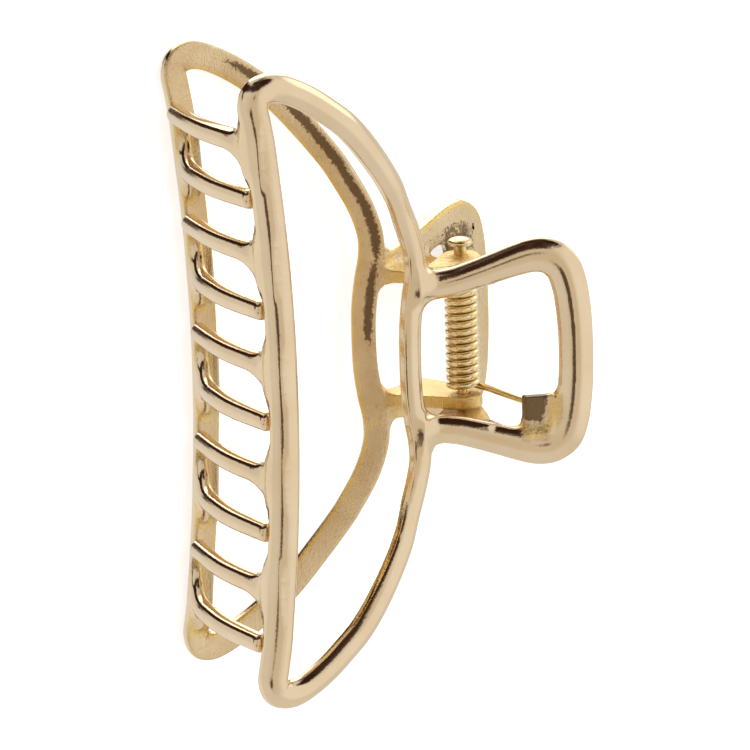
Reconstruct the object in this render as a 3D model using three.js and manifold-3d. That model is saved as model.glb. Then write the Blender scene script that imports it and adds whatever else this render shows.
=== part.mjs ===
// Open-frame metal claw hair clip: two cast halves on one hinge pin, closed by a torsion spring.
//
// Design directions, before the clip is laid down:
//   h  along the hinge pin        (row -X)
//   t  from the teeth to the finger tabs (row +Y); t = 0 at the waist of the clip
//   l  across the clip            (row +Z); l = 0 on the pin, front half at +l, back half at -l
// The clip lies on its back half: the outer face of the back finger tab and the
// back tooth bar both touch the table, so the whole clip is tipped a little about the pin direction.
import * as THREE from 'three';
import { mergeVertices } from 'three/addons/utils/BufferGeometryUtils.js';
import Module from 'manifold-3d';

const wasm = await Module();
wasm.setup();

// ------------------------------------------------------------ driving dimensions (mm)
const PIN_T = 13.6;            // hinge axis, t position (l = 0)
const PIN_D = 2.0;             // pin shank diameter
const PIN_HOLE_D = 2.1;        // hole in each ear
const PIN_HEAD_D = 4.0;        // domed head
const PIN_HEAD_H = 1.2;
const PIN_TOP = 15.3;          // underside of the head, along h
const PIN_TAIL = -14.3;        // swaged end, along h
const EAR_R = 3.0;             // ear radius around the pin
const EAR_IN = [9.2, 11.3];    // back half: ear plate, along |h|
const EAR_OUT = [11.6, 13.7];  // front half: ear plate, along |h|
const WIRE_D = 1.14;           // spring wire
const COIL_R = 2.2;            // coil centre-line radius
const COIL_TURNS = 13.5;
const COIL_PITCH = 1.22;
const TOOTH_PITCH = 17.8;
const TOOTH_OFFSET = 4.45;     // middle tooth of the front half, from the middle of the clip
const TEETH = 5;
const TOOTH_W = 3.15;
const TOOTH_TH = 2.3;
const RAIL_W = 4.2;
const RAIL_TH = 2.6;
const BAR_W = 4.7;
const BAR_TH = 2.7;
const TAB_TH = 2.7;
const LIE_TILT = 2.79 * Math.PI / 180; // tip of the closed clip as it lies on its back half
const FLAT_DEPTH = 0.2;        // worn flats where the back half touches the table

// mid-surface of one half: distance from the middle plane against t
const PROFILE = [[-31, 14.2], [-26, 14.3], [-21, 14.1], [-16.5, 13.6], [-12, 12.95], [-7.8, 11.95], [-3, 10.0],
  [0, 8.2], [2, 7.7], [5, 8.4], [10, 10.3], [15, 12.3], [20, 14.4], [24, 16.3], [28, 18.3], [31, 19.8]];
// centre line of the D frame (h, t), one half of it; the other half is its mirror
const FRAME = [[0, 0.15], [5, 0.3], [9.5, 0.9], [13, 1.6], [16.5, 1.7], [20, 0.85], [24, -0.75], [28.5, -2.95],
  [32.2, -5.4], [35.6, -8.0], [38.4, -10.3], [40.9, -12.7], [43.2, -15.6], [45.5, -18.8], [47.2, -21.8],
  [48.25, -24.4], [48.5, -26.5], [47.8, -28.3], [46.0, -28.95], [43.3, -28.55], [40, -28.0], [33.5, -27.3], [27, -26.65],
  [20, -26.1], [14, -25.75], [8, -25.5], [0, -25.4]];
// finger-tab loop: centre line (h, t) and width
const TAB = [[11.5, 1.5, 4.3], [11.7, 4.5, 4.4], [12.2, 7.5, 4.5], [13.1, 10.5, 4.6], [14.1, 13.5, 4.8], [15.1, 16.5, 5.1], [15.7, 19.0, 5.4],
  [15.5, 21.1, 5.6], [14.0, 23.0, 5.7], [11.2, 24.0, 5.6], [7.4, 24.55, 5.5], [3.6, 24.8, 5.45], [0, 24.85, 5.4]];
// tooth centre line (t, l) for a bar at t = -25.4
const TOOTH = [[-25.0, 14.3], [-26.3, 12.8], [-27.1, 10.6], [-27.8, 7.4], [-28.3, 3.8], [-28.55, 0], [-28.4, -4], [-27.95, -8], [-27.5, -11.2], [-27.3, -12.4]];

// ------------------------------------------------------------ small helpers
// smooth value of a table [[x, y], ...] at x (monotone cubic)
function table(rows) {
  const n = rows.length;
  const x = rows.map((r) => r[0]);
  const y = rows.map((r) => r[1]);
  const d = [];
  for (let i = 0; i < n - 1; i += 1) d.push((y[i + 1] - y[i]) / (x[i + 1] - x[i]));
  const m = [d[0]];
  for (let i = 1; i < n - 1; i += 1) {
    if (d[i - 1] * d[i] <= 0) { m.push(0); continue; }
    const h0 = x[i] - x[i - 1];
    const h1 = x[i + 1] - x[i];
    const w1 = 2 * h1 + h0;
    const w2 = h1 + 2 * h0;
    m.push((w1 + w2) / (w1 / d[i - 1] + w2 / d[i]));
  }
  m.push(d[n - 2]);
  return (v) => {
    let i = 0;
    while (i < n - 2 && v > x[i + 1]) i += 1;
    const h = x[i + 1] - x[i];
    const s = (v - x[i]) / h;
    if (s < 0) return y[0] + m[0] * (v - x[0]);
    if (s > 1) return y[n - 1] + m[n - 1] * (v - x[n - 1]);
    return y[i] * (1 + 2 * s) * (1 - s) ** 2 + h * m[i] * s * (1 - s) ** 2
      + y[i + 1] * s * s * (3 - 2 * s) + h * m[i + 1] * s * s * (s - 1);
  };
}
const profile = table(PROFILE);
const slope = (t) => (profile(t + 0.05) - profile(t - 0.05)) / 0.1;
const barT = table(FRAME.slice(19).map((p) => [p[0], p[1]]).reverse());
const P = (h, t, l) => new THREE.Vector3(-h, t, l);

// section outline: flat back, upright sides, domed outer face; u across, v outwards, both -1..1
const SECTION = [[0.9, -1], [1, -0.35], [0.9, 0.4], [0.45, 0.95], [-0.45, 0.95], [-0.9, 0.4], [-1, -0.35], [-0.9, -1]];

// A station is { c, u, v } : centre and the two half-axes of the section.
function place(station, k, scale = 1) {
  const [a, b] = SECTION[k % SECTION.length];
  return station.c.clone().addScaledVector(station.u, a * scale).addScaledVector(station.v, b * scale);
}
// open sweep: a capped cylinder whose rings are moved to the stations
function openSweep(stations) {
  const rows = stations.length - 1;
  const sides = SECTION.length;
  const g = new THREE.CylinderGeometry(1, 1, 1, sides, rows, false);
  const pos = g.attributes.position;
  for (let i = 0; i < pos.count; i += 1) {
    const x = pos.getX(i);
    const z = pos.getZ(i);
    const s = stations[Math.round((0.5 - pos.getY(i)) * rows)];
    const r = Math.hypot(x, z);
    const k = (Math.round(Math.atan2(x, z) / (2 * Math.PI) * sides) + sides) % sides;
    const q = r < 0.5 ? s.c.clone().addScaledVector(s.v, -0.1) : place(s, k);
    pos.setXYZ(i, q.x, q.y, q.z);
  }
  return g;
}
// closed sweep: a torus whose rings are moved to the stations
function closedSweep(stations) {
  const n = stations.length;
  const sides = SECTION.length;
  const g = new THREE.TorusGeometry(2, 0.5, sides, n);
  const pos = g.attributes.position;
  for (let j = 0; j <= sides; j += 1) {
    for (let i = 0; i <= n; i += 1) {
      const q = place(stations[i % n], j % sides);
      pos.setXYZ(j * (n + 1) + i, q.x, q.y, q.z);
    }
  }
  return g;
}
// to and from a solid for cutting and joining
function solid(geometry) {
  const g = geometry.index ? geometry.clone() : geometry.clone();
  g.deleteAttribute('normal');
  g.deleteAttribute('uv');
  const m = mergeVertices(g, 1e-4);
  const vertProperties = new Float32Array(m.attributes.position.array);
  let tri = Array.from(m.index.array);
  const clean = [];
  for (let i = 0; i < tri.length; i += 3) {
    if (tri[i] !== tri[i + 1] && tri[i + 1] !== tri[i + 2] && tri[i] !== tri[i + 2]) clean.push(tri[i], tri[i + 1], tri[i + 2]);
  }
  tri = clean;
  let vol = 0;
  const v = (k) => [vertProperties[3 * k], vertProperties[3 * k + 1], vertProperties[3 * k + 2]];
  for (let i = 0; i < tri.length; i += 3) {
    const [a, b, c] = [v(tri[i]), v(tri[i + 1]), v(tri[i + 2])];
    vol += (a[0] * (b[1] * c[2] - b[2] * c[1]) + a[1] * (b[2] * c[0] - b[0] * c[2]) + a[2] * (b[0] * c[1] - b[1] * c[0])) / 6;
  }
  if (vol < 0) for (let i = 0; i < tri.length; i += 3) [tri[i], tri[i + 1]] = [tri[i + 1], tri[i]];
  return new wasm.Manifold(new wasm.Mesh({ numProp: 3, vertProperties, triVerts: new Uint32Array(tri) }));
}
function geometryOf(manifold) {
  const mesh = manifold.getMesh();
  const g = new THREE.BufferGeometry();
  const n = mesh.numProp;
  const count = mesh.vertProperties.length / n;
  const pos = new Float32Array(count * 3);
  for (let i = 0; i < count; i += 1) for (let k = 0; k < 3; k += 1) pos[3 * i + k] = mesh.vertProperties[n * i + k];
  g.setAttribute('position', new THREE.BufferAttribute(pos, 3));
  g.setIndex(new THREE.BufferAttribute(new Uint32Array(mesh.triVerts), 1));
  g.computeVertexNormals();
  return g;
}
// an ExtrudeGeometry of a (t, l) outline between two h positions
function plate(shape, h0, h1, curveSegments = 6) {
  const g = new THREE.ExtrudeGeometry(shape, { depth: h1 - h0, bevelEnabled: false, steps: 1, curveSegments });
  // outline x -> row Y, outline y -> row Z, depth -> row -X
  const m = new THREE.Matrix4().makeBasis(new THREE.Vector3(0, 1, 0), new THREE.Vector3(0, 0, 1), new THREE.Vector3(1, 0, 0));
  g.applyMatrix4(m);
  g.translate(-h1, 0, 0);
  return g;
}

// ------------------------------------------------------------ one half, drawn on the +l side
// stations along a path in (h, t) that lies on the profile surface
function stationsOnSurface(points, width, thickness, lean, bend, step, closed) {
  const curve = new THREE.CatmullRomCurve3(points.map((p) => P(p[0], p[1], profile(p[1]))), closed, 'centripetal');
  const out = [];
  // stations where the path has turned by 'bend' or run on by 'step'
  const fine = 600;
  const picked = [0];
  let from = curve.getTangentAt(0);
  for (let i = 1; i < fine; i += 1) {
    const tangent = curve.getTangentAt(i / fine);
    const run = (i - picked[picked.length - 1]) / fine * curve.getLength();
    if (tangent.angleTo(from) > bend || run > step) { picked.push(i); from = tangent; }
  }
  if (!closed) picked.push(fine);
  for (const i of picked) {
    const s = i / fine;
    const c = curve.getPointAt(s);
    const tangent = curve.getTangentAt(s);
    const t = c.y;
    const h = -c.x;
    const normal = new THREE.Vector3(0, -slope(t), 1).normalize();
    normal.addScaledVector(tangent, -normal.dot(tangent)).normalize();
    const side = new THREE.Vector3().crossVectors(tangent, normal).normalize();
    const k = lean(h, t);
    const n2 = normal.clone().applyAxisAngle(new THREE.Vector3(1, 0, 0), k);
    n2.addScaledVector(tangent, -n2.dot(tangent)).normalize();
    const s2 = new THREE.Vector3().crossVectors(tangent, n2).normalize();
    out.push({ c, u: s2.multiplyScalar(width(h, t, s) / 2), v: n2.multiplyScalar(thickness(h, t, s) / 2) });
    side.set(0, 0, 0);
  }
  return out;
}
const mirrored = (rows) => {
  const a = rows.map((p) => [...p]);
  const b = rows.slice(1, -1).reverse().map((p) => [-p[0], ...p.slice(1)]);
  return [...a, ...b];
};
function frameLoop() {
  // 0 on the rail, 1 on the bar
  const onBar = (h, t) => THREE.MathUtils.smoothstep(-t, 22, 27);
  // at the waist the rail keeps leaning as it does beside it, whatever the surface does
  const waist = (h, t) => Math.max(0, 0.47 - Math.atan(-slope(t))) * THREE.MathUtils.smoothstep(t, -6, -1);
  return closedSweep(stationsOnSurface(
    mirrored(FRAME),
    (h, t) => THREE.MathUtils.lerp(RAIL_W, BAR_W, onBar(h, t)) - 0.25 * Math.exp(-h * h / 60) * (1 - onBar(h, t)),
    (h, t) => THREE.MathUtils.lerp(RAIL_TH, BAR_TH, onBar(h, t)),
    (h, t) => 0.30 * onBar(h, t) - waist(h, t),
    0.14, 3.4, true,
  ));
}
function tabLoop() {
  const pts = [...TAB, ...TAB.slice(0, -1).reverse().map((p) => [-p[0], p[1], p[2]])];
  const w = table(TAB.map((p) => [p[1], p[2]]));
  return openSweep(stationsOnSurface(pts, (h, t) => w(t), () => TAB_TH, () => 0, 0.15, 3.2, false));
}
function tooth(hc) {
  const shift = barT(Math.abs(hc)) + 25.4;
  const curve = new THREE.CatmullRomCurve3(TOOTH.map((p) => P(hc, p[0] + shift, p[1])), false, 'centripetal');
  const out = [];
  const length = curve.getLength();
  const stops = [0, 0.07, 0.085, 0.105, 0.13, 0.16, 0.2, 0.25, 0.33, 0.44, 0.6, 0.74, 0.87, 0.955, 0.985, 1];
  for (const s of stops) {
    const c = curve.getPointAt(s);
    const tangent = curve.getTangentAt(s);
    const side = new THREE.Vector3(-1, 0, 0);
    const normal = new THREE.Vector3().crossVectors(side, tangent).normalize();
    if (normal.y > 0 || (s < 0.1 && normal.z < 0)) normal.negate();
    const end = s > 0.97 ? (s > 0.99 ? 0.62 : 0.9) : 1;
    // the root flares: short fillet towards +h, long fillet towards -h
    const d = s * length - BAR_W * 0.42;
    const fillet = (a, b) => (d >= a ? 0 : b * (1 - Math.sqrt(Math.max(0, 1 - ((a - Math.max(d, 0)) / a) ** 2))));
    const up = TOOTH_W / 2 + fillet(3.6, 2.5);
    const down = TOOTH_W / 2 + fillet(5.2, 4.2);
    const taper = 1 - 0.12 * s;
    c.addScaledVector(side, (up - down) / 2 * taper);
    out.push({ c, u: side.clone().multiplyScalar((up + down) / 2 * taper * end), v: normal.clone().multiplyScalar(TOOTH_TH / 2 * (1 - 0.08 * s) * end) });
  }
  return openSweep(out);
}
function ear(h0, h1) {
  const s = new THREE.Shape();
  const a0 = Math.PI * 1.22;
  const pts = [[3.0, 8.0], [3.2, 5.4], [5.0, 3.9], [7.8, 1.5]];
  s.moveTo(...pts[0]);
  for (const p of pts.slice(1)) s.lineTo(...p);
  s.absarc(PIN_T, 0, EAR_R, a0, Math.PI * 2.08, false);
  s.lineTo(15.2, 5.0);
  s.lineTo(13.6, 9.0);
  s.lineTo(12.0, 11.2);
  s.lineTo(7.0, 9.4);
  return plate(s, h0, h1, 9);
}
function pinBore() {
  const g = new THREE.CylinderGeometry(PIN_HOLE_D / 2, PIN_HOLE_D / 2, 60, 20, 1, false);
  g.rotateZ(Math.PI / 2);
  g.translate(0, PIN_T, 0);
  return g;
}
function lug() {
  // block inside the lower corner of the tab loop that the spring leg pushes on
  const s = new THREE.Shape();
  s.moveTo(17.6, 11.7);
  s.lineTo(21.6, 13.2);
  s.lineTo(21.9, 15.0);
  s.lineTo(17.6, 13.4);
  return plate(s, -13.2, -7.3, 2);
}
function half(ears) {
  let m = solid(frameLoop()).add(solid(tabLoop()));
  for (let k = 0; k < TEETH; k += 1) m = m.add(solid(tooth(TOOTH_OFFSET + TOOTH_PITCH * (k - 2))));
  m = m.add(solid(ear(ears[0], ears[1]))).add(solid(ear(-ears[1], -ears[0])));
  m = m.add(solid(lug()));
  return m.subtract(solid(pinBore()));
}

// ------------------------------------------------------------ the four pieces
const frontSolid = half(EAR_OUT);
const backSolid0 = half(EAR_IN);
// the back half is the same casting turned half a turn about the t direction
const turn = new THREE.Matrix4().makeRotationY(Math.PI);
const backGeometry0 = geometryOf(backSolid0);
backGeometry0.applyMatrix4(turn);
// flats on the lowest places of the lying clip
function lowestBetween(tLow, tHigh) {
  // lowest point of the back half in the lying pose, found from its vertices in a range of t
  const pos = backGeometry0.attributes.position;
  let low = Infinity;
  for (let i = 0; i < pos.count; i += 1) {
    const y = pos.getY(i);
    if (y < tLow || y > tHigh) continue;
    low = Math.min(low, y * Math.sin(LIE_TILT) + pos.getZ(i) * Math.cos(LIE_TILT));
  }
  return low;
}
const lowTab = lowestBetween(10, 40);
const lowBar = lowestBetween(-40, 0);

const tablePlane = Math.min(lowTab, lowBar) + FLAT_DEPTH;
const cutter = new THREE.BoxGeometry(200, 200, 20);
cutter.translate(0, 0, tablePlane - 10);
cutter.applyMatrix4(new THREE.Matrix4().makeRotationX(-LIE_TILT));
const backSolid = solid(backGeometry0).subtract(solid(cutter));

function pinGeometry() {
  const r = PIN_D / 2;
  const R = PIN_HEAD_D / 2;
  const profilePoints = [
    [0, PIN_TAIL - 0.5], [r * 0.75, PIN_TAIL - 0.5], [r + 0.28, PIN_TAIL - 0.15], [r + 0.28, PIN_TAIL + 0.1], [r, PIN_TAIL + 0.3],
    [r, PIN_TOP], [R, PIN_TOP], [R, PIN_TOP + 0.35], [R * 0.82, PIN_TOP + 0.85], [R * 0.45, PIN_TOP + PIN_HEAD_H], [0, PIN_TOP + PIN_HEAD_H + 0.05],
  ].map((p) => new THREE.Vector2(p[0], p[1]));
  const g = new THREE.LatheGeometry(profilePoints, 20);
  g.rotateZ(Math.PI / 2); // lathe axis +Y -> row -X, the +h direction
  g.translate(0, PIN_T, 0);
  return g;
}
class SpringPath extends THREE.Curve {
  constructor(points) {
    super();
    this.points = points;
    this.arc = [0];
    for (let i = 1; i < points.length; i += 1) this.arc.push(this.arc[i - 1] + points[i].distanceTo(points[i - 1]));
  }

  getPoint(s, target = new THREE.Vector3()) {
    const want = s * this.arc[this.arc.length - 1];
    let i = 0;
    while (i < this.arc.length - 2 && want > this.arc[i + 1]) i += 1;
    const f = (want - this.arc[i]) / (this.arc[i + 1] - this.arc[i]);
    return target.copy(this.points[i]).lerp(this.points[i + 1], f);
  }
}
function springPoints(perTurn) {
  // the front leg leaves the lower end of the coil tangentially and runs up to the front lug;
  // the back leg is the same, turned half a turn about the t direction
  const pts = [];
  const legEnd = [20.0, 10.45];       // (t, l) of the leg's end
  const dx = legEnd[0] - PIN_T;
  const dl = legEnd[1];
  const dist = Math.hypot(dx, dl);
  const base = Math.atan2(dl, dx);
  const off = Math.acos(COIL_R / dist);
  const a0 = base - off;              // angle of the tangent point on the coil
  const hLow = -COIL_TURNS * COIL_PITCH / 2;
  const startH = hLow - 0.9;
  const tangentPoint = [PIN_T + COIL_R * Math.cos(a0), COIL_R * Math.sin(a0)];
  const leg = [];
  const n = 8;
  for (let i = 0; i < n; i += 1) {
    const f = i / n;
    leg.push([startH + 0.9 * f, legEnd[0] + (tangentPoint[0] - legEnd[0]) * f, legEnd[1] + (tangentPoint[1] - legEnd[1]) * f]);
  }
  for (const p of leg) pts.push(P(p[0], p[1], p[2]));
  const sweep = 2 * Math.PI * COIL_TURNS;
  // total turning so that both ends mirror each other: from a0 to -a0 + whole turns
  const turns = Math.round((sweep + 2 * a0) / (2 * Math.PI)) * 2 * Math.PI - 2 * a0;
  const steps = Math.round(turns / (2 * Math.PI) * perTurn);
  for (let i = 0; i <= steps; i += 1) {
    const f = i / steps;
    const a = a0 - turns * f;
    pts.push(P(hLow - 2 * hLow * f, PIN_T + COIL_R * Math.cos(a), COIL_R * Math.sin(a)));
  }
  for (const p of leg.slice().reverse()) pts.push(P(-p[0], p[1], -p[2]));
  return pts;
}
function springGeometry() {
  // a capped cylinder of seven sides bent along the spring's centre line
  const curve = new SpringPath(springPoints(14));
  const pts = curve.points;
  const sides = 7;
  const rows = pts.length - 1;
  const g = new THREE.CylinderGeometry(1, 1, 1, sides, rows, false);
  const pos = g.attributes.position;
  const frames = pts.map((p, i) => {
    const a = pts[Math.max(0, i - 1)];
    const b = pts[Math.min(pts.length - 1, i + 1)];
    const tangent = b.clone().sub(a).normalize();
    const u = new THREE.Vector3(1, 0, 0);
    u.addScaledVector(tangent, -u.dot(tangent)).normalize();
    const v = new THREE.Vector3().crossVectors(tangent, u);
    return { u, v };
  });
  for (let i = 0; i < pos.count; i += 1) {
    const x = pos.getX(i);
    const z = pos.getZ(i);
    const k = Math.round((0.5 - pos.getY(i)) * rows);
    const r = Math.hypot(x, z) * WIRE_D / 2;
    const a = Math.atan2(x, z);
    const q = pts[k].clone().addScaledVector(frames[k].u, r * Math.cos(a)).addScaledVector(frames[k].v, r * Math.sin(a));
    pos.setXYZ(i, q.x, q.y, q.z);
  }
  return geometryOf(solid(g));
}

// ------------------------------------------------------------ materials and assembly
const gold = (color, roughness) => new THREE.MeshStandardMaterial({ color, roughness, metalness: 1 });
const clip = new THREE.Group();
function addPiece(name, geometry, material) {
  const mesh = new THREE.Mesh(geometry, material);
  mesh.name = name;
  clip.add(mesh);
  return mesh;
}
addPiece('back_claw', geometryOf(backSolid), gold(0xdecdb0, 0.14));
addPiece('front_claw', geometryOf(frontSolid), gold(0xdecdb0, 0.14));
addPiece('hinge_pin', geometryOf(solid(pinGeometry())), gold(0xd9bf82, 0.2));
addPiece('torsion_spring', springGeometry(), gold(0xd8b45f, 0.22));

// lay the clip down: tip it about the pin direction, then put the middle of its box's floor at the origin
const lying = new THREE.Group();
lying.rotation.x = LIE_TILT;
lying.add(clip);
const object = new THREE.Group();
object.add(lying);
object.updateMatrixWorld(true);
const box = new THREE.Box3();
clip.traverse((o) => {
  if (o.isMesh) {
    const g = o.geometry.clone().applyMatrix4(o.matrixWorld);
    g.computeBoundingBox();
    box.union(g.boundingBox);
  }
});
const BASE = new THREE.Vector3(-(box.min.x + box.max.x) / 2, -(box.min.y + box.max.y) / 2, -box.min.z);
lying.position.copy(BASE);
object.updateMatrixWorld(true);

export default object;
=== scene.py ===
import math

import bmesh
import bpy
import numpy as np
from mathutils import Matrix, Vector
from mathutils.bvhtree import BVHTree
from mathutils.geometry import tessellate_polygon


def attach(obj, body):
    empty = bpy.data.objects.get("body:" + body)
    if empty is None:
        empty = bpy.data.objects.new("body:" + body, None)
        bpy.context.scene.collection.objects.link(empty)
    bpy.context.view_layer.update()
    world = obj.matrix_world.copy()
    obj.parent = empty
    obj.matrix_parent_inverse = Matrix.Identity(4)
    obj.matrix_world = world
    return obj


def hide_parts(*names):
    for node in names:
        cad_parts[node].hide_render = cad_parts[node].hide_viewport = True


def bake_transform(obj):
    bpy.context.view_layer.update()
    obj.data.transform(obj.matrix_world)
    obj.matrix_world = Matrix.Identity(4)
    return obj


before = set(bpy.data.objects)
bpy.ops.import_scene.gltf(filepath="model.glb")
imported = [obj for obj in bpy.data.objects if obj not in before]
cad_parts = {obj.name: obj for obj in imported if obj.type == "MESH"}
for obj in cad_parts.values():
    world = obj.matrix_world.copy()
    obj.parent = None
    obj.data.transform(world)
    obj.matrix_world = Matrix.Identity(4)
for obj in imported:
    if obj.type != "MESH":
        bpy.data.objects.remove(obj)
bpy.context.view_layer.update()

# ---------------------------------------------------------------- the clip's dimensions, in mm, as in the CAD part
PIN_T, PIN_D, PIN_HOLE_D, PIN_HEAD_D, PIN_HEAD_H = 13.6, 2.0, 2.1, 4.0, 1.2
PIN_TOP, PIN_TAIL = 15.3, -14.3
EAR_R = 3.0
EAR_IN, EAR_OUT = (9.2, 11.3), (11.6, 13.7)
WIRE_D, COIL_R, COIL_TURNS, COIL_PITCH = 1.14, 2.2, 13.5, 1.22
TOOTH_PITCH, TOOTH_OFFSET, TEETH, TOOTH_W, TOOTH_TH = 17.8, 4.45, 5, 3.15, 2.3
RAIL_W, RAIL_TH, BAR_W, BAR_TH, TAB_TH = 4.2, 2.6, 4.7, 2.7, 2.7
TILT = math.radians(2.79)
BASE = np.array([0.0, 1.90903, 16.96666])
PROFILE = [[-31, 14.2], [-26, 14.3], [-21, 14.1], [-16.5, 13.6], [-12, 12.95], [-7.8, 11.95], [-3, 10.0], [0, 8.2],
           [2, 7.7], [5, 8.4], [10, 10.3], [15, 12.3], [20, 14.4], [24, 16.3], [28, 18.3], [31, 19.8]]
FRAME = [[0, 0.15], [5, 0.3], [9.5, 0.9], [13, 1.6], [16.5, 1.7], [20, 0.85], [24, -0.75], [28.5, -2.95], [32.2, -5.4],
         [35.6, -8.0], [38.4, -10.3], [40.9, -12.7], [43.2, -15.6], [45.5, -18.8], [47.2, -21.8], [48.25, -24.4],
         [48.5, -26.5], [47.8, -28.3], [46.0, -28.95], [43.3, -28.55], [40, -28.0], [33.5, -27.3], [27, -26.65],
         [20, -26.1], [14, -25.75], [8, -25.5], [0, -25.4]]
TAB = [[11.5, 1.5, 4.3], [11.7, 4.5, 4.4], [12.2, 7.5, 4.5], [13.1, 10.5, 4.6], [14.1, 13.5, 4.8], [15.1, 16.5, 5.1],
       [15.7, 19.0, 5.4], [15.5, 21.1, 5.6], [14.0, 23.0, 5.7], [11.2, 24.0, 5.6], [7.4, 24.55, 5.5], [3.6, 24.8, 5.45],
       [0, 24.85, 5.4]]
TOOTH = [[-25.0, 14.3], [-26.3, 12.8], [-27.1, 10.6], [-27.8, 7.4], [-28.3, 3.8], [-28.55, 0], [-28.4, -4],
         [-27.95, -8], [-27.5, -11.2], [-27.3, -12.4]]
# half of each section, from the middle of the inner face round to the middle of the outer face:
# (across, outwards, corner radius) in half-widths and half-thicknesses
FRAME_SECTION = [[0.45, -1.04, 0.5], [0.95, -0.92, 0.16], [1.02, -0.20, 0.4], [0.97, 0.26, 0.45], [0.36, 1.02, 0.5]]
# the bar's own section is not even: its crest is off the middle, with a wall to the window on the far side
BAR_SECTION = [[0.45, -1.04, 0.5], [0.94, -0.92, 0.16], [1.02, -0.40, 0.5], [0.80, 0.42, 0.35], [0.12, 1.04, 0.40],
               [-0.72, 0.80, 0.26], [-1.00, 0.20, 0.30], [-0.95, -0.92, 0.16], [-0.45, -1.04, 0.5]]
TAB_SECTION = [[0.45, -1.04, 0.5], [0.95, -0.92, 0.16], [1.02, -0.20, 0.4], [0.99, 0.22, 0.35], [0.30, 1.02, 0.5]]
TOOTH_SECTION = [[0.5, -1.02, 0.4], [0.98, -0.92, 0.2], [1.02, -0.25, 0.5], [0.80, 0.62, 0.42], [0.22, 1.02, 0.4]]
TOOTH_FULL = 1.14       # the cast teeth are this much fuller than the CAD's plain ones


# ---------------------------------------------------------------- curves
def table(rows):
    x = np.array([r[0] for r in rows], float)
    y = np.array([r[1] for r in rows], float)
    d = np.diff(y) / np.diff(x)
    m = [d[0]]
    for i in range(1, len(x) - 1):
        if d[i - 1] * d[i] <= 0:
            m.append(0.0)
            continue
        h0, h1 = x[i] - x[i - 1], x[i + 1] - x[i]
        w1, w2 = 2 * h1 + h0, h1 + 2 * h0
        m.append((w1 + w2) / (w1 / d[i - 1] + w2 / d[i]))
    m.append(d[-1])
    m = np.array(m)

    def f(v):
        v = np.asarray(v, float)
        i = np.clip(np.searchsorted(x, v, side="left") - 1, 0, len(x) - 2)
        h = x[i + 1] - x[i]
        s = (v - x[i]) / h
        out = (y[i] * (1 + 2 * s) * (1 - s) ** 2 + h * m[i] * s * (1 - s) ** 2
               + y[i + 1] * s * s * (3 - 2 * s) + h * m[i + 1] * s * s * (s - 1))
        out = np.where(v < x[0], y[0] + m[0] * (v - x[0]), out)
        return np.where(v > x[-1], y[-1] + m[-1] * (v - x[-1]), out)
    return f


profile = table(PROFILE)
bar_t = table([[p[0], p[1]] for p in FRAME[19:]][::-1])


def slope(t):
    return (profile(t + 0.05) - profile(t - 0.05)) / 0.1


def point(h, t, l):
    return np.stack(np.broadcast_arrays(-np.asarray(h, float), np.asarray(t, float), np.asarray(l, float)), -1)


def smoothstep(v, a, b):
    s = np.clip((np.asarray(v, float) - a) / (b - a), 0, 1)
    return s * s * (3 - 2 * s)


def unit(v):
    return v / np.maximum(np.linalg.norm(v, axis=-1, keepdims=True), 1e-12)


def spline(points, closed, spacing):
    """Centripetal Catmull-Rom through the points, sampled evenly along its length."""
    p = np.asarray(points, float)
    n = len(p)
    segs = n if closed else n - 1
    out = []
    for i in range(segs):
        p1, p2 = p[i % n], p[(i + 1) % n]
        p0 = p[(i - 1) % n] if closed or i > 0 else 2 * p1 - p2
        p3 = p[(i + 2) % n] if closed or i + 2 < n else 2 * p2 - p1
        d0, d1, d2 = (max(np.linalg.norm(b - a) ** 0.5, 1e-6) for a, b in ((p0, p1), (p1, p2), (p2, p3)))
        t1 = (p1 - p0) / d0 - (p2 - p0) / (d0 + d1) + (p2 - p1) / d1
        t2 = (p2 - p1) / d1 - (p3 - p1) / (d1 + d2) + (p3 - p2) / d2
        t1, t2 = t1 * d1, t2 * d1
        s = np.linspace(0, 1, 41)[:-1][:, None]
        out.append(p1 * (2 * s**3 - 3 * s**2 + 1) + t1 * (s**3 - 2 * s**2 + s)
                   + p2 * (-2 * s**3 + 3 * s**2) + t2 * (s**3 - s**2))
    out.append(p[:1] if closed else p[-1:])
    fine = np.concatenate(out)
    arc = np.concatenate([[0], np.cumsum(np.linalg.norm(np.diff(fine, axis=0), axis=1))])
    count = max(int(round(arc[-1] / spacing)), 8)
    want = np.linspace(0, arc[-1], count + 1)
    c = np.stack([np.interp(want, arc, fine[:, k]) for k in range(3)], 1)
    if closed:
        c = c[:-1]
        tangent = np.roll(c, -1, 0) - np.roll(c, 1, 0)
    else:
        tangent = np.gradient(c, axis=0)
    return c, unit(tangent), want[:len(c)] / arc[-1], arc[-1]


def turn_x(v, angle):
    c, s = np.cos(angle), np.sin(angle)
    return np.stack([v[:, 0], v[:, 1] * c - v[:, 2] * s, v[:, 1] * s + v[:, 2] * c], 1)


# ---------------------------------------------------------------- sections and sweeps
def rounded_section(rows, steps=4):
    """rows: (across, outwards, corner radius), in section units. The corners are eased by those radii."""
    p = np.array([r[:2] for r in rows], float)
    out = []
    n = len(p)
    for i in range(n):
        a, b, c = p[i - 1], p[i], p[(i + 1) % n]
        r1 = min(rows[i][2] / np.linalg.norm(a - b), 0.49)
        r2 = min(rows[i][2] / np.linalg.norm(c - b), 0.49)
        s, e = b + (a - b) * r1, b + (c - b) * r2
        for k in range(steps + 1):
            f = k / steps
            out.append((1 - f) ** 2 * s + 2 * f * (1 - f) * b + f * f * e)
    return np.array(out)


def mirror_rows(rows):
    """The whole section from its right half, going round."""
    return [list(r) for r in rows] + [[-r[0], *r[1:]] for r in rows[::-1]]


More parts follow.
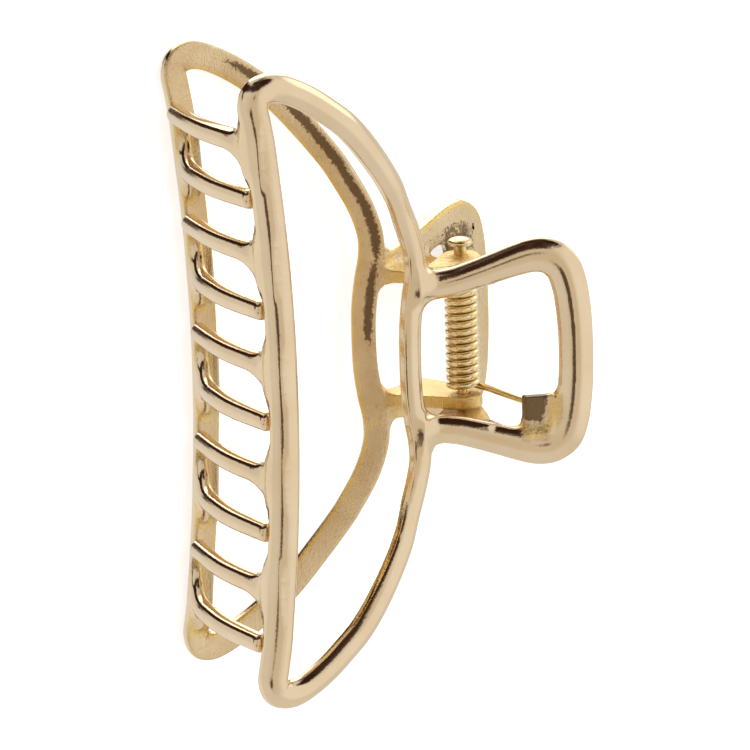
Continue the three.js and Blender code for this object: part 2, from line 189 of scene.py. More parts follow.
def fill_section(pts, most, even=0):
    """Extra points along long straight stretches, so the swept skin is even."""
    if even:
        # the same number of points all the way round, at even steps, so that two sections can be mixed
        loop = np.concatenate([pts, pts[:1]])
        arc = np.concatenate([[0], np.cumsum(np.linalg.norm(np.diff(loop, axis=0), axis=1))])
        want = np.linspace(0, arc[-1], even + 1)[:-1]
        return np.stack([np.interp(want, arc, loop[:, k]) for k in range(2)], 1)
    out = []
    n = len(pts)
    for i in range(n):
        a, b = pts[i], pts[(i + 1) % n]
        k = max(int(math.ceil(np.linalg.norm(b - a) / most)), 1)
        for j in range(k):
            out.append(a + (b - a) * j / k)
    return np.array(out)


def sweep(c, u, v, section, closed, other=None, share=None, tooth=False, painted_shade_amount=1.0):
    """c, u, v: station centres and half-axes. Returns vertices, triangles facing outwards, and how polished each vertex
    is, with the inner face below zero for its browner tone and its painted dark reflection.
    """
    n, k = len(c), len(section)
    sec = np.tile(section, (n, 1, 1))
    if other is not None:
        sec = sec * (1 - share[:, None, None]) + other[None] * share[:, None, None]
    pos = c[:, None] + u[:, None] * sec[:, :, 0, None] + v[:, None] * sec[:, :, 1, None]
    verts = pos.reshape(-1, 3)
    polish_and_painted_shade = np.tile(smoothstep(section[:, 1], -0.9, -0.5), n)
    # the inner face: below zero for its browner tone, and lowest in a band towards the outer side of the loop, over
    # half of the arch, where the material turns it into a painted dark reflection
    inside = section[:, 1] < -0.7
    if not tooth:
        painted_shade_band = np.clip(-1 + 1.6 * np.abs(section[:, 0] - 0.35), -1, -0.02)
        where = smoothstep(c[:, 1], -24, -16) * smoothstep(c[:, 0], -4, 3)
        rim = 1 - smoothstep(-section[:, 0], 0.60, 0.76)     # a raw yellow line along the window's edge
        low = ((np.outer(where * painted_shade_amount, painted_shade_band) * 0.7 - 0.3) * rim).ravel()
        polish_and_painted_shade = np.where(np.tile(inside, n), low, polish_and_painted_shade)
    faces = []
    rows = n if closed else n - 1
    for i in range(rows):
        j = (i + 1) % n
        for m in range(k):
            q = (m + 1) % k
            a, b, d, e = i * k + m, i * k + q, j * k + q, j * k + m
            faces.append((a, b, d))
            faces.append((a, d, e))
    if not closed:
        verts = np.concatenate([verts, c[:1], c[-1:]])
        polish_and_painted_shade = np.concatenate([polish_and_painted_shade, [0.6, 0.6]])
        for m in range(k):
            q = (m + 1) % k
            faces.append((n * k, q, m))
            faces.append((n * k + 1, (n - 1) * k + m, (n - 1) * k + q))
    faces = np.array(faces)
    t = verts[faces]
    if np.einsum("ij,ij->i", t[:, 0], np.cross(t[:, 1], t[:, 2])).sum() < 0:
        faces = faces[:, ::-1]
    return verts, faces, polish_and_painted_shade


def on_surface(points, width, thickness, lean, closed, spacing):
    pts = [[-p[0], p[1], float(profile(p[1]))] for p in points]
    c, tangent, s, _ = spline(pts, closed, spacing)
    h, t = -c[:, 0], c[:, 1]
    normal = np.stack([np.zeros_like(t), -slope(t), np.ones_like(t)], 1)
    normal = unit(normal)
    normal = unit(normal - tangent * (normal * tangent).sum(1, keepdims=True))
    n2 = turn_x(normal, lean(h, t))
    n2 = unit(n2 - tangent * (n2 * tangent).sum(1, keepdims=True))
    s2 = unit(np.cross(tangent, n2))
    return c, s2 * (width(h, t) / 2)[:, None], n2 * (thickness(h, t) / 2)[:, None]


def mirrored(rows):
    return [list(p) for p in rows] + [[-p[0], *p[1:]] for p in rows[1:-1][::-1]]


STEP = 0.35
SEC_FRAME = fill_section(rounded_section(mirror_rows(FRAME_SECTION), 8), 0.2, 72)
SEC_BAR = fill_section(rounded_section(BAR_SECTION, 8), 0.2, 72)
SEC_TAB = fill_section(rounded_section(mirror_rows(TAB_SECTION)), 0.2)
SEC_TOOTH = fill_section(rounded_section(mirror_rows(TOOTH_SECTION)), 0.25)


def frame_loop():
    on_bar = lambda h, t: smoothstep(-t, 22, 27)
    waist = lambda h, t: np.maximum(0, 0.47 - np.arctan(-slope(t))) * smoothstep(t, -6, -1)
    c, u, v = on_surface(
        mirrored(FRAME),
        lambda h, t: RAIL_W + (BAR_W - RAIL_W) * on_bar(h, t) - 0.25 * np.exp(-h * h / 60) * (1 - on_bar(h, t)),
        lambda h, t: RAIL_TH + (BAR_TH - RAIL_TH) * on_bar(h, t),
        lambda h, t: 0.30 * on_bar(h, t) - waist(h, t), True, STEP)
    return sweep(c, u, v, SEC_FRAME, True, SEC_BAR, on_bar(-c[:, 0], c[:, 1]))


def tab_loop():
    pts = [list(p) for p in TAB] + [[-p[0], p[1], p[2]] for p in TAB[:-1][::-1]]
    w = table([[p[1], p[2]] for p in TAB])
    c, u, v = on_surface(pts, lambda h, t: w(t), lambda h, t: np.full_like(h, TAB_TH),
                         lambda h, t: np.zeros_like(h), False, STEP)
    # the tab's inner face gets a fainter painted dark reflection
    return sweep(c, u, v, SEC_TAB, False, painted_shade_amount=0.42)


def tooth(hc):
    shift = float(bar_t(abs(hc))) + 25.4
    c, tangent, s, length = spline([[-hc, p[0] + shift, p[1]] for p in TOOTH], False, STEP)
    side = np.tile([-1.0, 0.0, 0.0], (len(c), 1))
    normal = unit(np.cross(side, tangent))
    flip = (normal[:, 1] > 0) | ((s < 0.1) & (normal[:, 2] < 0))
    normal[flip] *= -1
    from_end = (1 - s) * length
    end = np.where(from_end < 0.9, 0.62 + 0.38 * np.sqrt(np.clip(1 - (1 - from_end / 0.9) ** 2, 0, 1)), 1.0)
    d = s * length - BAR_W * 0.42 - 1.3
    fillet = lambda a, b: np.where(d >= a, 0, b * (1 - np.sqrt(np.clip(1 - ((a - np.clip(d, 0, None)) / a) ** 2, 0, 1))))
    up = TOOTH_W * TOOTH_FULL / 2 + fillet(2.9, 2.6)
    down = TOOTH_W * TOOTH_FULL / 2 + fillet(5.2, 4.2)
    taper = 1 - 0.12 * s
    c = c + side * ((up - down) / 2 * taper)[:, None]
    return sweep(c, side * ((up + down) / 2 * taper * end)[:, None],
                 normal * (TOOTH_TH / 2 * (1 - 0.08 * s) * end)[:, None], SEC_TOOTH, False, tooth=True)


def plate(outline, h0, h1, bevel=0.25, hole=None):
    """A (t, l) outline between two h positions, with eased rims and, if asked, a round hole (t, l, radius)."""
    loops = [np.array(outline, float)]
    p = loops[0]
    if 0.5 * np.sum(p[:, 0] * np.roll(p[:, 1], -1) - np.roll(p[:, 0], -1) * p[:, 1]) < 0:
        loops[0] = p[::-1]
    if hole:
        a = -np.linspace(0, 2 * math.pi, 41)[:-1]
        loops.append(np.stack([hole[0] + hole[2] * np.cos(a), hole[1] + hole[2] * np.sin(a)], 1))
    seq = [(h0, bevel), (h0 + bevel * 0.29, bevel * 0.29), (h0 + bevel, 0), (h1 - bevel, 0),
           (h1 - bevel * 0.29, bevel * 0.29), (h1, bevel)]
    total = sum(len(q) for q in loops)
    offsets = []
    for q in loops:
        e = np.roll(q, -1, 0) - q
        nrm = unit(np.stack([e[:, 1], -e[:, 0]], 1))
        vn = nrm + np.roll(nrm, 1, 0)
        offsets.append(vn / np.maximum((vn * vn).sum(1, keepdims=True) / 2, 0.5))
    verts = []
    for h, inset in seq:
        for q, vn in zip(loops, offsets):
            w = q - vn * (inset if q is loops[0] else inset * 0.4)
            verts.append(point(h, w[:, 0], w[:, 1]))
    verts = np.concatenate(verts)
    faces = []
    start = 0
    for q in loops:
        k = len(q)
        for i in range(len(seq) - 1):
            for m in range(k):
                n = (m + 1) % k
                a, b = i * total + start + m, i * total + start + n
                faces += [(a, b, b + total), (a, b + total, a + total)]
        start += k
    tri = tessellate_polygon([[Vector((x, y, 0)) for x, y in q] for q in loops])
    flat = np.concatenate(loops)
    caps = []
    for a, b, c in tri:
        z = np.cross(flat[b] - flat[a], flat[c] - flat[a])
        caps.append((a, b, c) if z > 0 else (a, c, b))
    last = (len(seq) - 1) * total
    faces += [(c, b, a) for a, b, c in caps] + [(last + a, last + b, last + c) for a, b, c in caps]
    faces = np.array(faces)
    t = verts[faces]
    if np.einsum("ij,ij->i", t[:, 0], np.cross(t[:, 1], t[:, 2])).sum() < 0:
        faces = faces[:, ::-1]
    return verts, faces, np.zeros(len(verts))


def dense(outline, most=0.5):
    return fill_section(np.array(outline, float), most)


def ear(h0, h1):
    pts = [[3.0, 8.0], [3.2, 5.4], [5.0, 3.9], [7.8, 1.5]]
    a = np.linspace(math.pi * 1.22, math.pi * 2.08, 24)
    pts += [[PIN_T + EAR_R * math.cos(x), EAR_R * math.sin(x)] for x in a]
    pts += [[15.2, 5.0], [13.6, 9.0], [12.0, 11.2], [7.0, 9.4]]
    return plate(dense(pts), h0, h1, hole=(PIN_T, 0.0, PIN_HOLE_D / 2))


def lug():
    # the lug's value of -1 has the material paint it dark brown all over: a painted dark reflection
    return plate(dense([[17.6, 11.7], [21.6, 13.2], [21.9, 15.0], [17.6, 13.4]], 0.6), -13.2, -7.3, 0.3)[:2] + (np.full(1000, -1.0),)


# ---------------------------------------------------------------- one casting from its overlapping pieces
def mesh_object(name, verts, faces):
    m = bpy.data.meshes.new(name)
    m.from_pydata([tuple(map(float, p)) for p in verts], [], [tuple(map(int, f)) for f in faces])
    m.update()
    o = bpy.data.objects.new(name, m)
    bpy.context.scene.collection.objects.link(o)
    return o


def vertex_normals(verts, faces):
    t = verts[faces]
    n = np.cross(t[:, 1] - t[:, 0], t[:, 2] - t[:, 0])
    out = np.zeros_like(verts)
    for k in range(3):
        np.add.at(out, faces[:, k], n)
    return unit(out)


class Piece:
    """One sweep or plate: its skin, smooth normals, how polished each point is (below zero: browner tone and painted
    dark reflection), and its nearest-point tree.
    """

    def __init__(self, verts, faces, polish_and_painted_shade):
        self.verts, self.faces, self.polish_and_painted_shade = verts, faces, polish_and_painted_shade[:len(verts)]
        self.normals = vertex_normals(verts, faces)
        self.tree = BVHTree.FromPolygons(verts.tolist(), faces.tolist())
        self.low, self.high = verts.min(0), verts.max(0)

    def near(self, pts, reach):
        """Signed distance, outward direction and polish (below zero: browner tone and painted dark reflection) at each
        point within reach.
        """
        ok = ((pts > self.low - reach) & (pts < self.high + reach)).all(1)
        rows, locs, tris = [], [], []
        find = self.tree.find_nearest
        for i in np.nonzero(ok)[0]:
            loc, _, index, _ = find(pts[i], reach)
            if loc is not None:
                rows.append(i)
                locs.append(loc)
                tris.append(index)
        if not rows:
            return np.zeros(0, int), None, None, None
        rows = np.array(rows)
        locs = np.array([tuple(q) for q in locs])
        f = self.faces[np.array(tris)]
        a, b, c = self.verts[f[:, 0]], self.verts[f[:, 1]], self.verts[f[:, 2]]
        v0, v1, v2 = b - a, c - a, locs - a
        d00, d01, d11 = (v0 * v0).sum(1), (v0 * v1).sum(1), (v1 * v1).sum(1)
        d20, d21 = (v2 * v0).sum(1), (v2 * v1).sum(1)
        den = np.where(np.abs(d00 * d11 - d01 * d01) < 1e-14, 1e-14, d00 * d11 - d01 * d01)
        y = np.clip((d11 * d20 - d01 * d21) / den, 0, 1)
        z = np.clip((d00 * d21 - d01 * d20) / den, 0, 1)
        x = np.clip(1 - y - z, 0, 1)
        n = unit(self.normals[f[:, 0]] * x[:, None] + self.normals[f[:, 1]] * y[:, None] + self.normals[f[:, 2]] * z[:, None])
        gap = pts[rows] - locs
        dist = np.linalg.norm(gap, axis=1)
        sign = np.where((gap * n).sum(1) < 0, -1.0, 1.0)
        pol_and_shade = self.polish_and_painted_shade[f[:, 0]] * x + self.polish_and_painted_shade[f[:, 1]] * y + self.polish_and_painted_shade[f[:, 2]] * z
        return rows, dist * sign, n, pol_and_shade


def merged(pieces, pts, reach=3.0, radius=2.4):
    """The casting's own distance, outward direction and polish with its painted dark reflection: the pieces joined with
    cast fillets.
    """
    f = np.full(len(pts), 9.0)
    g = np.tile([0.0, 0.0, 1.0], (len(pts), 1))
    pol_and_shade = np.zeros(len(pts))
    for piece in pieces:
        rows, d, n, p = piece.near(pts, reach)
        if len(rows) == 0:
            continue
        f0, g0, p0 = f[rows], g[rows], pol_and_shade[rows]
        first = f0 > 8.0
        r = radius * np.clip(1.25 - (g0 * n).sum(1), 0.25, 1)
        r = np.where(first, 1e-3, r)
        w = np.clip(0.5 + (f0 - d) / (2 * r), 0, 1)          # 1: this piece is nearer
        blend = np.where(np.abs(f0 - d) < r, (r - np.abs(f0 - d)) ** 2 / (4 * r), 0)
        f[rows] = np.minimum(f0, d) - blend
        g[rows] = unit(g0 * (1 - w[:, None]) + n * w[:, None])
        pol_and_shade[rows] = p0 * (1 - w) + p * w
    return f, g, pol_and_shade


def neighbours_mean(pts, edges, counts):
    total = np.zeros_like(pts)
    np.add.at(total, edges[:, 0], pts[edges[:, 1]])
    np.add.at(total, edges[:, 1], pts[edges[:, 0]])
    return total / counts[:, None]


def casting(name, pieces, place, voxel):
    verts, faces, base = [], [], 0
    for p in pieces:
        verts.append(p.verts)
        faces.append(p.faces + base)
        base += len(p.verts)
    o = mesh_object(name + "_draft", np.concatenate(verts), np.concatenate(faces))
    mod = o.modifiers.new("remesh", "REMESH")
    mod.mode = "VOXEL"
    mod.voxel_size = voxel
    mod.adaptivity = 0
    got = o.evaluated_get(bpy.context.evaluated_depsgraph_get())
    m = bpy.data.meshes.new_from_object(got)
    bpy.data.objects.remove(o)
    n = len(m.vertices)
    pts = np.zeros(n * 3)
    m.vertices.foreach_get("co", pts)
    pts = pts.reshape(-1, 3)
    edges = np.zeros(len(m.edges) * 2, int)
    m.edges.foreach_get("vertices", edges)
    edges = edges.reshape(-1, 2)
    counts = np.maximum(np.bincount(edges.ravel(), minlength=n), 1).astype(float)
    for smooth, rounds in ((2, 1), (1, 1)):
        for _ in range(smooth):
            pts = pts + 0.5 * (neighbours_mean(pts, edges, counts) - pts)
        for _ in range(rounds):
            f, g, pol_and_shade = merged(pieces, pts)
            pts = pts - g * np.clip(np.where(f > 8, 0, f), -0.6, 0.6)[:, None]
    f, g, pol_and_shade = merged(pieces, pts)
    pts = pts - g * np.clip(np.where(f > 8, 0, f), -0.3, 0.3)[:, None]
    for _ in range(2):
        g = unit(g + 0.35 * neighbours_mean(g, edges, counts))
    world = place(pts)
    normals = place(pts + g) - world
    low = world[:, 2] < 0
    world[low, 2] = 0
    normals[low] = (0, 0, -1)
    m.vertices.foreach_set("co", (world / 1000).astype(np.float32).ravel())
    m.polygons.foreach_set("use_smooth", np.ones(len(m.polygons), bool))
    m.name = name
    # polish per point; below zero it gives the inner faces their browner tone and painted dark reflection
    att = m.attributes.new("polish_and_painted_shade", "FLOAT", "POINT")
    att.data.foreach_set("value", pol_and_shade.astype(np.float32))
    m.update()
    m.normals_split_custom_set_from_vertices([tuple(map(float, q)) for q in unit(normals)])
    out = bpy.data.objects.new(name, m)
    bpy.context.scene.collection.objects.link(out)
    return out


CT, ST = math.cos(TILT), math.sin(TILT)


def lay(p):
    """From the clip's own directions to where it lies, in mm."""
    return np.stack([p[:, 0] + BASE[0], p[:, 1] * CT - p[:, 2] * ST + BASE[1], p[:, 1] * ST + p[:, 2] * CT + BASE[2]], 1)


def lay_turned(p):
    return lay(p * np.array([-1.0, 1.0, -1.0]))


common = [Piece(*frame_loop()), Piece(*tab_loop())]
common += [Piece(*tooth(TOOTH_OFFSET + TOOTH_PITCH * (k - 2))) for k in range(TEETH)]
common += [Piece(*lug())]
VOXEL = 0.24
claws = {}
for side, ears, place in (("front", EAR_OUT, lay), ("back", EAR_IN, lay_turned)):
    pieces = common + [Piece(*ear(*ears)), Piece(*ear(-ears[1], -ears[0]))]
    claws[side] = casting(side + "_half_casting", pieces, place, VOXEL)


# ---------------------------------------------------------------- pin and spring
def lathe(rows, sides):
    """rows: (radius, along h). A closed turned piece on the hinge axis."""
    a = np.linspace(0, 2 * math.pi, sides + 1)[:-1]
    verts, faces = [], []
    for r, h in rows:
        verts.append(point(h, PIN_T + r * np.cos(a), r * np.sin(a)))
    n = len(rows)
    verts = np.concatenate(verts + [point(rows[0][1], PIN_T, 0)[None], point(rows[-1][1], PIN_T, 0)[None]])
    for i in range(n - 1):
        for m in range(sides):
            q = (m + 1) % sides
            faces.append((i * sides + m, i * sides + q, (i + 1) * sides + q, (i + 1) * sides + m))
    for m in range(sides):
        q = (m + 1) % sides
        faces.append((n * sides, q, m))
        faces.append((n * sides + 1, (n - 1) * sides + m, (n - 1) * sides + q))
    return verts, faces


def shaded(name, verts, faces, angle=40):
    o = mesh_object(name, lay(verts) / 1000, faces)
    bm = bmesh.new()
    bm.from_mesh(o.data)
    bmesh.ops.recalc_face_normals(bm, faces=bm.faces)
    for f in bm.faces:
        f.smooth = True
    for e in bm.edges:
        if len(e.link_faces) == 2 and e.calc_face_angle(0) > math.radians(angle):
            e.smooth = False
    bm.to_mesh(o.data)
    bm.free()
    return o


R, r = PIN_HEAD_D / 2, PIN_D / 2
dome = [(R * math.cos(a), PIN_TOP + 0.35 + (PIN_HEAD_H - 0.33) * math.sin(a)) for a in np.linspace(0, math.pi / 2 - 0.06, 12)]
tail = [(0.3, -0.5), (r * 0.72, -0.5), (r * 0.98, -0.44), (r + 0.2, -0.3), (r + 0.28, -0.12), (r + 0.27, 0.05), (r + 0.1, 0.2), (r, 0.3)]
pin_rows = [(a, PIN_TAIL + b) for a, b in tail] + [(r, -11.2), (r, 0.0), (r, 11.2), (r, PIN_TOP - 0.12), (r + 0.12, PIN_TOP),
            (R - 0.12, PIN_TOP), (R - 0.02, PIN_TOP + 0.1)] + dome
pin = shaded("clip_pin", *lathe(pin_rows, 64))


def spring_path(per_turn):
    end = np.array([20.0, 11.9])          # each leg presses on its own half's lug
    dx, dl = end[0] - PIN_T, end[1]
    a0 = math.atan2(dl, dx) - math.acos(COIL_R / math.hypot(dx, dl))
    low = -COIL_TURNS * COIL_PITCH / 2
    tangent_point = np.array([PIN_T + COIL_R * math.cos(a0), COIL_R * math.sin(a0)])
    leg = []
    for i in range(24):
        f = i / 24
        q = end + (tangent_point - end) * f
        leg.append((low - 0.9 + 0.9 * smoothstep(f, 0.0, 1.0), q[0], q[1]))
    turns = round((2 * math.pi * COIL_TURNS + 2 * a0) / (2 * math.pi)) * 2 * math.pi - 2 * a0
    steps = int(round(turns / (2 * math.pi) * per_turn))
    coil = []
    for i in range(steps + 1):
        f = i / steps
        a = a0 - turns * f
        coil.append((low - 2 * low * f, PIN_T + COIL_R * math.cos(a), COIL_R * math.sin(a)))
    rest = [(-p[0], p[1], -p[2]) for p in leg[::-1]]
    return np.array([point(*p) for p in leg + coil + rest])


def wire(path, radius, sides):
    tangent = unit(np.gradient(path, axis=0))
    u = np.array([1.0, 0, 0]) - tangent * tangent[:, :1]
    u = unit(u)
    v = np.cross(tangent, u)
    scale = np.ones(len(path))
    # the cut ends are rounded over a little
    caps = [(0.55, 0.0), (0.85, 0.12), (1.0, 0.3)]
    rings_c = [path[0] + tangent[0] * d for _, d in caps] + list(path[1:-1]) + [path[-1] - tangent[-1] * d for _, d in caps[::-1]]
    rings_u = [u[0]] * 3 + list(u[1:-1]) + [u[-1]] * 3
    rings_v = [v[0]] * 3 + list(v[1:-1]) + [v[-1]] * 3
    rings_s = [s for s, _ in caps] + list(scale[1:-1]) + [s for s, _ in caps[::-1]]
    a = np.linspace(0, 2 * math.pi, sides + 1)[:-1]
    circle = np.stack([np.cos(a), np.sin(a)], 1)
    c = np.array(rings_c)
    uu = np.array(rings_u) * (np.array(rings_s) * radius)[:, None]
    vv = np.array(rings_v) * (np.array(rings_s) * radius)[:, None]
    n, k = len(c), sides
    pos = (c[:, None] + uu[:, None] * circle[None, :, 0, None] + vv[:, None] * circle[None, :, 1, None]).reshape(-1, 3)
    verts = np.concatenate([pos, c[:1], c[-1:]])
    faces = []
    for i in range(n - 1):
        for m in range(k):
            q = (m + 1) % k
            faces.append((i * k + m, i * k + q, (i + 1) * k + q, (i + 1) * k + m))
    for m in range(k):
        q = (m + 1) % k
        faces.append((n * k, q, m))
        faces.append((n * k + 1, (n - 1) * k + m, (n - 1) * k + q))
    return verts, faces


spring = shaded("clip_spring", *wire(spring_path(44), WIRE_D / 2, 18), angle=50)


# ---------------------------------------------------------------- materials
def node(tree, kind, x, y, **inputs):
    n = tree.nodes.new(kind)
    n.location = (x, y)
    for k, v in inputs.items():
        n.inputs[k].default_value = v
    return n


def ramp(tree, x, y, stops):
    n = tree.nodes.new("ShaderNodeValToRGB")
    n.location = (x, y)
    while len(n.color_ramp.elements) < len(stops):
        n.color_ramp.elements.new(0.5)
    for e, (p, c) in zip(n.color_ramp.elements, stops):
        e.position = p
        e.color = c if len(c) == 4 else (*c, 1)
    return n


def mapped(tree, x, lo, hi, out_lo, out_hi):
    n = tree.nodes.new("ShaderNodeMapRange")
    n.inputs["From Min"].default_value = lo
    n.inputs["From Max"].default_value = hi
    n.inputs["To Min"].default_value = out_lo
    n.inputs["To Max"].default_value = out_hi
    return n


def gold(name, outer, inner, rough_outer, rough_inner, use_polish=True, bump=0.12):
    mat = bpy.data.materials.new(name)
    mat.use_nodes = True
    t = mat.node_tree
    t.nodes.clear()
    link = t.links.new
    out = node(t, "ShaderNodeOutputMaterial", 1200, 0)
    bsdf = node(t, "ShaderNodeBsdfPrincipled", 900, 0)
    bsdf.inputs["Metallic"].default_value = 1.0
    link(bsdf.outputs[0], out.inputs[0])
    co = node(t, "ShaderNodeTexCoord", -1400, 0)
    broad = node(t, "ShaderNodeTexNoise", -1100, 400, Scale=130.0, Detail=4.0, Roughness=0.55)
    cast = node(t, "ShaderNodeTexNoise", -1100, 100, Scale=2000.0, Detail=4.0, Roughness=0.65)
    fine = node(t, "ShaderNodeTexNoise", -1100, -200, Scale=5200.0, Detail=3.0, Roughness=0.6)
    pits = node(t, "ShaderNodeTexVoronoi", -1100, -500, Scale=1500.0)
    stretch = node(t, "ShaderNodeMapping", -1300, -800)
    stretch.inputs["Scale"].default_value = (0.05, 1.0, 1.0)
    scratch = node(t, "ShaderNodeTexNoise", -1100, -800, Scale=6000.0, Detail=2.0, Roughness=0.5)
    for n in (broad, cast, fine, pits, stretch):
        link(co.outputs["Object"], n.inputs["Vector"])
    link(stretch.outputs[0], scratch.inputs["Vector"])
    # the polish attribute: below zero it also carries the painted dark reflection of the inner faces and the lug
    polish_and_painted_shade = node(t, "ShaderNodeAttribute", -1100, 700)
    polish_and_painted_shade.attribute_name = "polish_and_painted_shade"
    # how polished: the plated outer faces are smooth, the walls and the inner face keep the cast skin
    raw = mapped(t, 0, 0.25, 0.8, 0.0, 1.0)
    if use_polish:
        link(polish_and_painted_shade.outputs["Fac"], raw.inputs["Value"])
    else:
        raw.inputs["Value"].default_value = 0.55
    # colour
    tone_in = ramp(t, -700, 300, [(0.3, inner[0]), (0.7, inner[1])])
    link(broad.outputs["Fac"], tone_in.inputs["Fac"])
    tone_out = ramp(t, -700, 550, [(0.3, outer[0]), (0.7, outer[1])])
    link(broad.outputs["Fac"], tone_out.inputs["Fac"])
    mix = t.nodes.new("ShaderNodeMix")
    mix.data_type = "RGBA"
    link(raw.outputs[0], mix.inputs["Factor"])
    link(tone_in.outputs["Color"], mix.inputs["A"])
    link(tone_out.outputs["Color"], mix.inputs["B"])
    # dull specks in the cast skin
    speck = mapped(t, 0, 0.60, 0.72, 0.0, 1.0)
    link(cast.outputs["Fac"], speck.inputs["Value"])
    less = t.nodes.new("ShaderNodeMath")
    less.operation = "MULTIPLY"
    keep = mapped(t, 0, 0.0, 1.0, 0.55, 0.06)
    link(raw.outputs[0], keep.inputs["Value"])
    link(speck.outputs[0], less.inputs[0])
    link(keep.outputs[0], less.inputs[1])
    mix2 = t.nodes.new("ShaderNodeMix")
    mix2.data_type = "RGBA"
    mix2.inputs["B"].default_value = (inner[0][0] * 0.45, inner[0][1] * 0.36, inner[0][2] * 0.28, 1)
    link(less.outputs[0], mix2.inputs["Factor"])
    # the inner face is paler and browner than the walls
    dull = mapped(t, 0, -0.05, -0.25, 0.0, 1.0)
    link(polish_and_painted_shade.outputs["Fac"], dull.inputs["Value"])
    tone_back = ramp(t, -700, 50, [(0.3, (0.72, 0.53, 0.30)), (0.7, (0.84, 0.66, 0.41))])
    link(broad.outputs["Fac"], tone_back.inputs["Fac"])
    mix4 = t.nodes.new("ShaderNodeMix")
    mix4.data_type = "RGBA"
    if use_polish:
        link(dull.outputs[0], mix4.inputs["Factor"])
    else:
        mix4.inputs["Factor"].default_value = 0.0
    link(mix.outputs["Result"], mix4.inputs["A"])
    link(tone_back.outputs["Color"], mix4.inputs["B"])
    link(mix4.outputs["Result"], mix2.inputs["A"])
    # painted dark reflection: the inner face is darkened and blotchy towards its outer side, and the lug all over
    shade = t.nodes.new("ShaderNodeMath")
    shade.operation = "MULTIPLY_ADD"
    link(cast.outputs["Fac"], shade.inputs[0])
    shade.inputs[1].default_value = 0.9
    link(polish_and_painted_shade.outputs["Fac"], shade.inputs[2])
    painted_shade_amount = mapped(t, 0, -0.10, -0.24, 0.0, 0.88)
    link(shade.outputs[0], painted_shade_amount.inputs["Value"])
    mix3 = t.nodes.new("ShaderNodeMix")
    mix3.data_type = "RGBA"
    mix3.inputs["B"].default_value = (0.13, 0.07, 0.03, 1)
    if use_polish:
        link(painted_shade_amount.outputs[0], mix3.inputs["Factor"])
    else:
        mix3.inputs["Factor"].default_value = 0.0
    link(mix2.outputs["Result"], mix3.inputs["A"])
    link(mix3.outputs["Result"], bsdf.inputs["Base Color"])
    # roughness
    ra = mapped(t, 0, 0.3, 0.75, rough_outer[0], rough_outer[1])
    link(fine.outputs["Fac"], ra.inputs["Value"])
    rb = mapped(t, 0, 0.3, 0.75, rough_inner[0], rough_inner[1])
    link(cast.outputs["Fac"], rb.inputs["Value"])
    rmix = t.nodes.new("ShaderNodeMix")
    rmix.data_type = "FLOAT"
    link(raw.outputs[0], rmix.inputs["Factor"])
    link(rb.outputs[0], rmix.inputs["A"])
    link(ra.outputs[0], rmix.inputs["B"])
    link(rmix.outputs["Result"], bsdf.inputs["Roughness"])
    # bump: cast ripples and fine scratches
    h1 = t.nodes.new("ShaderNodeMath")
    h1.operation = "MULTIPLY_ADD"
    link(fine.outputs["Fac"], h1.inputs[0])
    h1.inputs[1].default_value = 0.25
    link(cast.outputs["Fac"], h1.inputs[2])
    h2 = t.nodes.new("ShaderNodeMath")
    h2.operation = "MULTIPLY_ADD"
    link(scratch.outputs["Fac"], h2.inputs[0])
    h2.inputs[1].default_value = 0.35
    link(h1.outputs[0], h2.inputs[2])
    strength = mapped(t, 0, 0.0, 1.0, bump, bump * 0.12)
    link(raw.outputs[0], strength.inputs["Value"])
    b = node(t, "ShaderNodeBump", 600, -400)
    b.inputs["Distance"].default_value = 0.0004
    link(strength.outputs[0], b.inputs["Strength"])
    link(h2.outputs[0], b.inputs["Height"])
    link(b.outputs[0], bsdf.inputs["Normal"])
    return mat


frame_gold = gold("plated_cast_gold", [(0.80, 0.62, 0.40), (0.85, 0.68, 0.47)], [(0.78, 0.53, 0.18), (0.92, 0.68, 0.30)],
                  (0.05, 0.11), (0.10, 0.24), True, 0.45)
pin_gold = gold("plated_pin_gold", [(0.86, 0.68, 0.34), (0.93, 0.78, 0.48)], [(0.82, 0.60, 0.26), (0.92, 0.74, 0.42)],
                (0.06, 0.14), (0.10, 0.20), False, 0.2)
wire_gold = gold("plated_wire_gold", [(0.86, 0.68, 0.36), (0.93, 0.79, 0.50)], [(0.82, 0.61, 0.28), (0.92, 0.76, 0.45)],
                 (0.06, 0.14), (0.10, 0.20), False, 0.15)

for o, mat, slot_name, cad in ((claws["front"], frame_gold, "plated_frame", "front_claw"),
                               (claws["back"], frame_gold, "plated_frame", "back_claw"),
                               (pin, pin_gold, "plated_pin", "hinge_pin"),
                               (spring, wire_gold, "plated_wire", "torsion_spring")):
    o.data.materials.clear()
    o.data.materials.append(mat)
    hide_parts(cad)
for n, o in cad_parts.items():
    o.data.materials.clear()
    o.data.materials.append({"hinge_pin": pin_gold, "torsion_spring": wire_gold}.get(n, frame_gold))
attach(claws["front"], "front_half")
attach(claws["back"], "back_half")
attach(pin, "back_half")
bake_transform(spring)

# ---------------------------------------------------------------- floor, light and camera
bpy.ops.mesh.primitive_plane_add(size=3.0, location=(0, 0, 0))
floor = bpy.context.object
floor.name = "floor"
fm = bpy.data.materials.new("pale_floor")
fm.use_nodes = True
fb = fm.node_tree.nodes["Principled BSDF"]
fb.inputs["Base Color"].default_value = (0.8, 0.8, 0.8, 1)
fb.inputs["Emission Color"].default_value = (1, 1, 1, 1)
fb.inputs["Emission Strength"].default_value = 0.62
fb.inputs["Roughness"].default_value = 0.9
fb.inputs["Specular IOR Level"].default_value = 0.0
floor.data.materials.append(fm)
floor.visible_glossy = False      # the metal mirrors the room around it, as if it hung free

